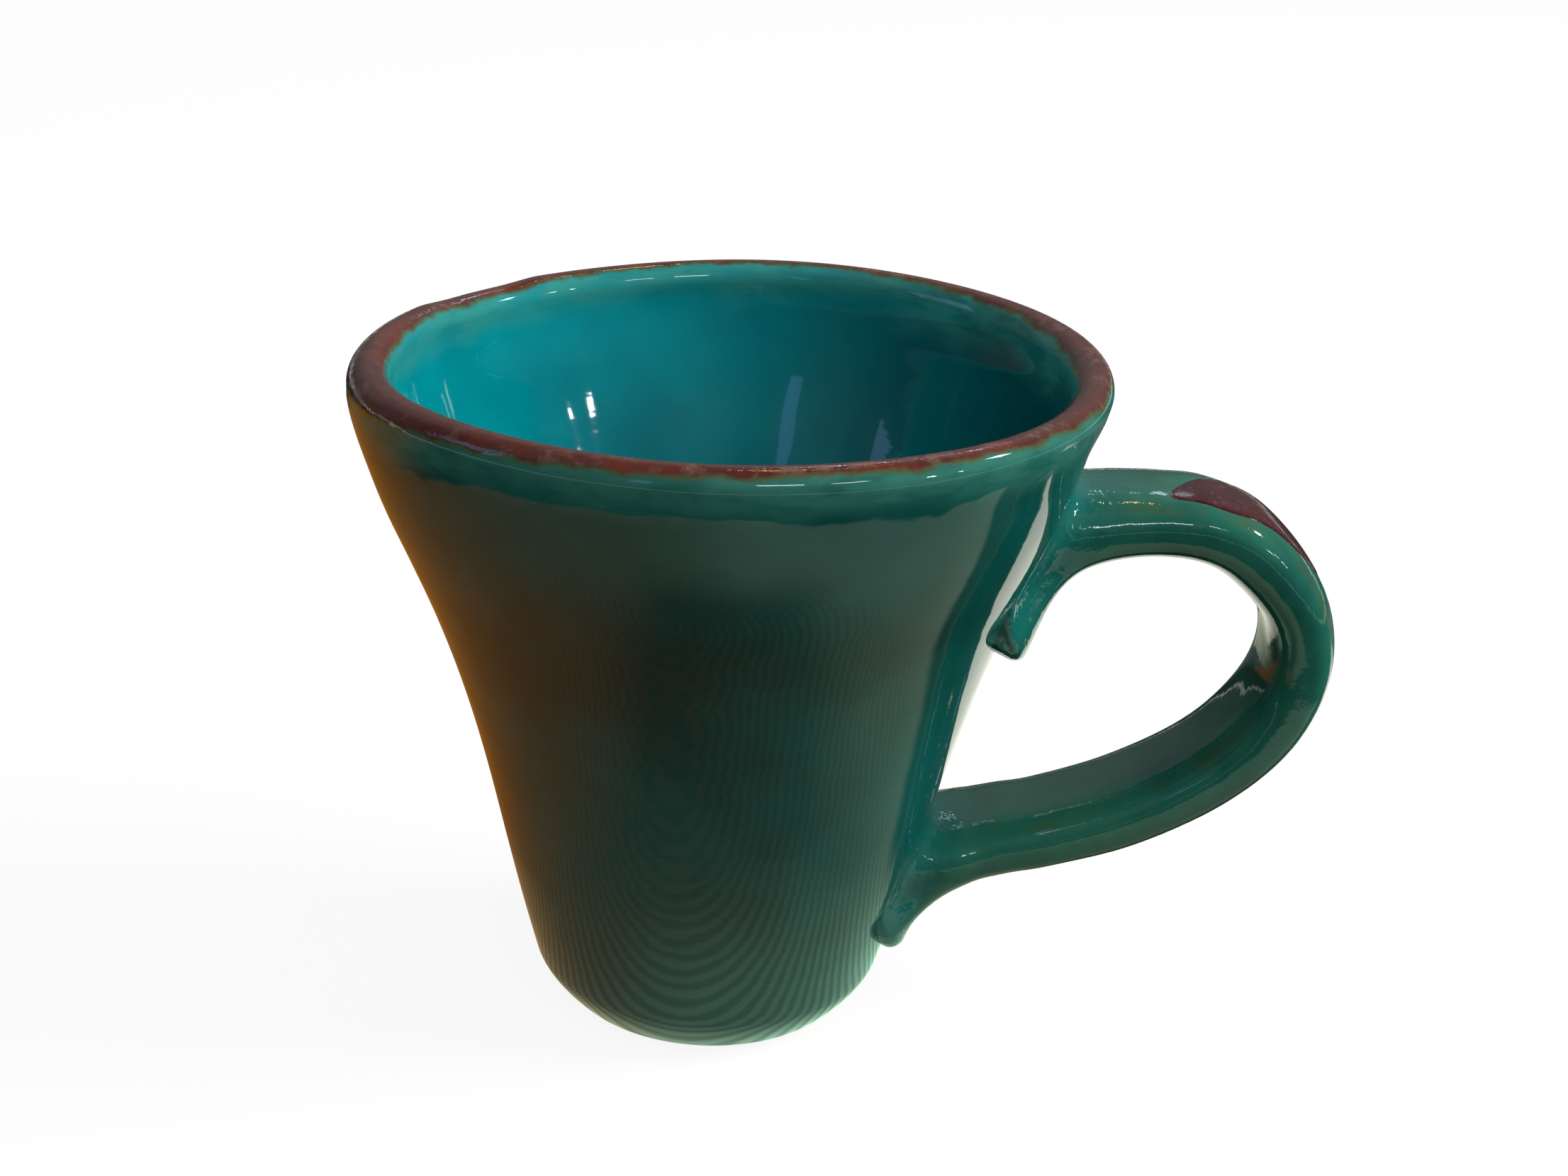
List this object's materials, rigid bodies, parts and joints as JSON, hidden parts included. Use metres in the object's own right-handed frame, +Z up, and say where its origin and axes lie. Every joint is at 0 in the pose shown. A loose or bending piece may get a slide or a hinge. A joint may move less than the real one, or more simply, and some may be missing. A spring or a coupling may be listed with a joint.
{
  "type": "mug",
  "caption": "Flared glazed earthenware mug with a thick brown lip, a flat bare foot and a broad pulled strap handle.",
  "frame": {"origin": "centre of the flat foot, on the surface that the mug stands on", "axes": "+Z up along the cup's axis; +X towards the handle; the picture looks along +Y"},
  "size_m": [0.1373, 0.103, 0.0986],
  "materials": {
    "earthenware": "bare fired clay",
    "joint_slip": "glossy green glaze over slip",
    "turquoise_glaze": "glossy",
    "green_glaze": "glossy",
    "iron_slip": "glossy brown slip"
  },
  "bodies": {
    "root": {"clay_cup": "earthenware", "clay_handle": "earthenware", "upper_joint_slip": "joint_slip", "lower_joint_slip": "joint_slip", "inside_glaze": "turquoise_glaze", "outside_glaze": "green_glaze", "lip_band": "iron_slip", "handle_glaze": "green_glaze", "handle_patch": "iron_slip"}
  },
  "joints": []
}
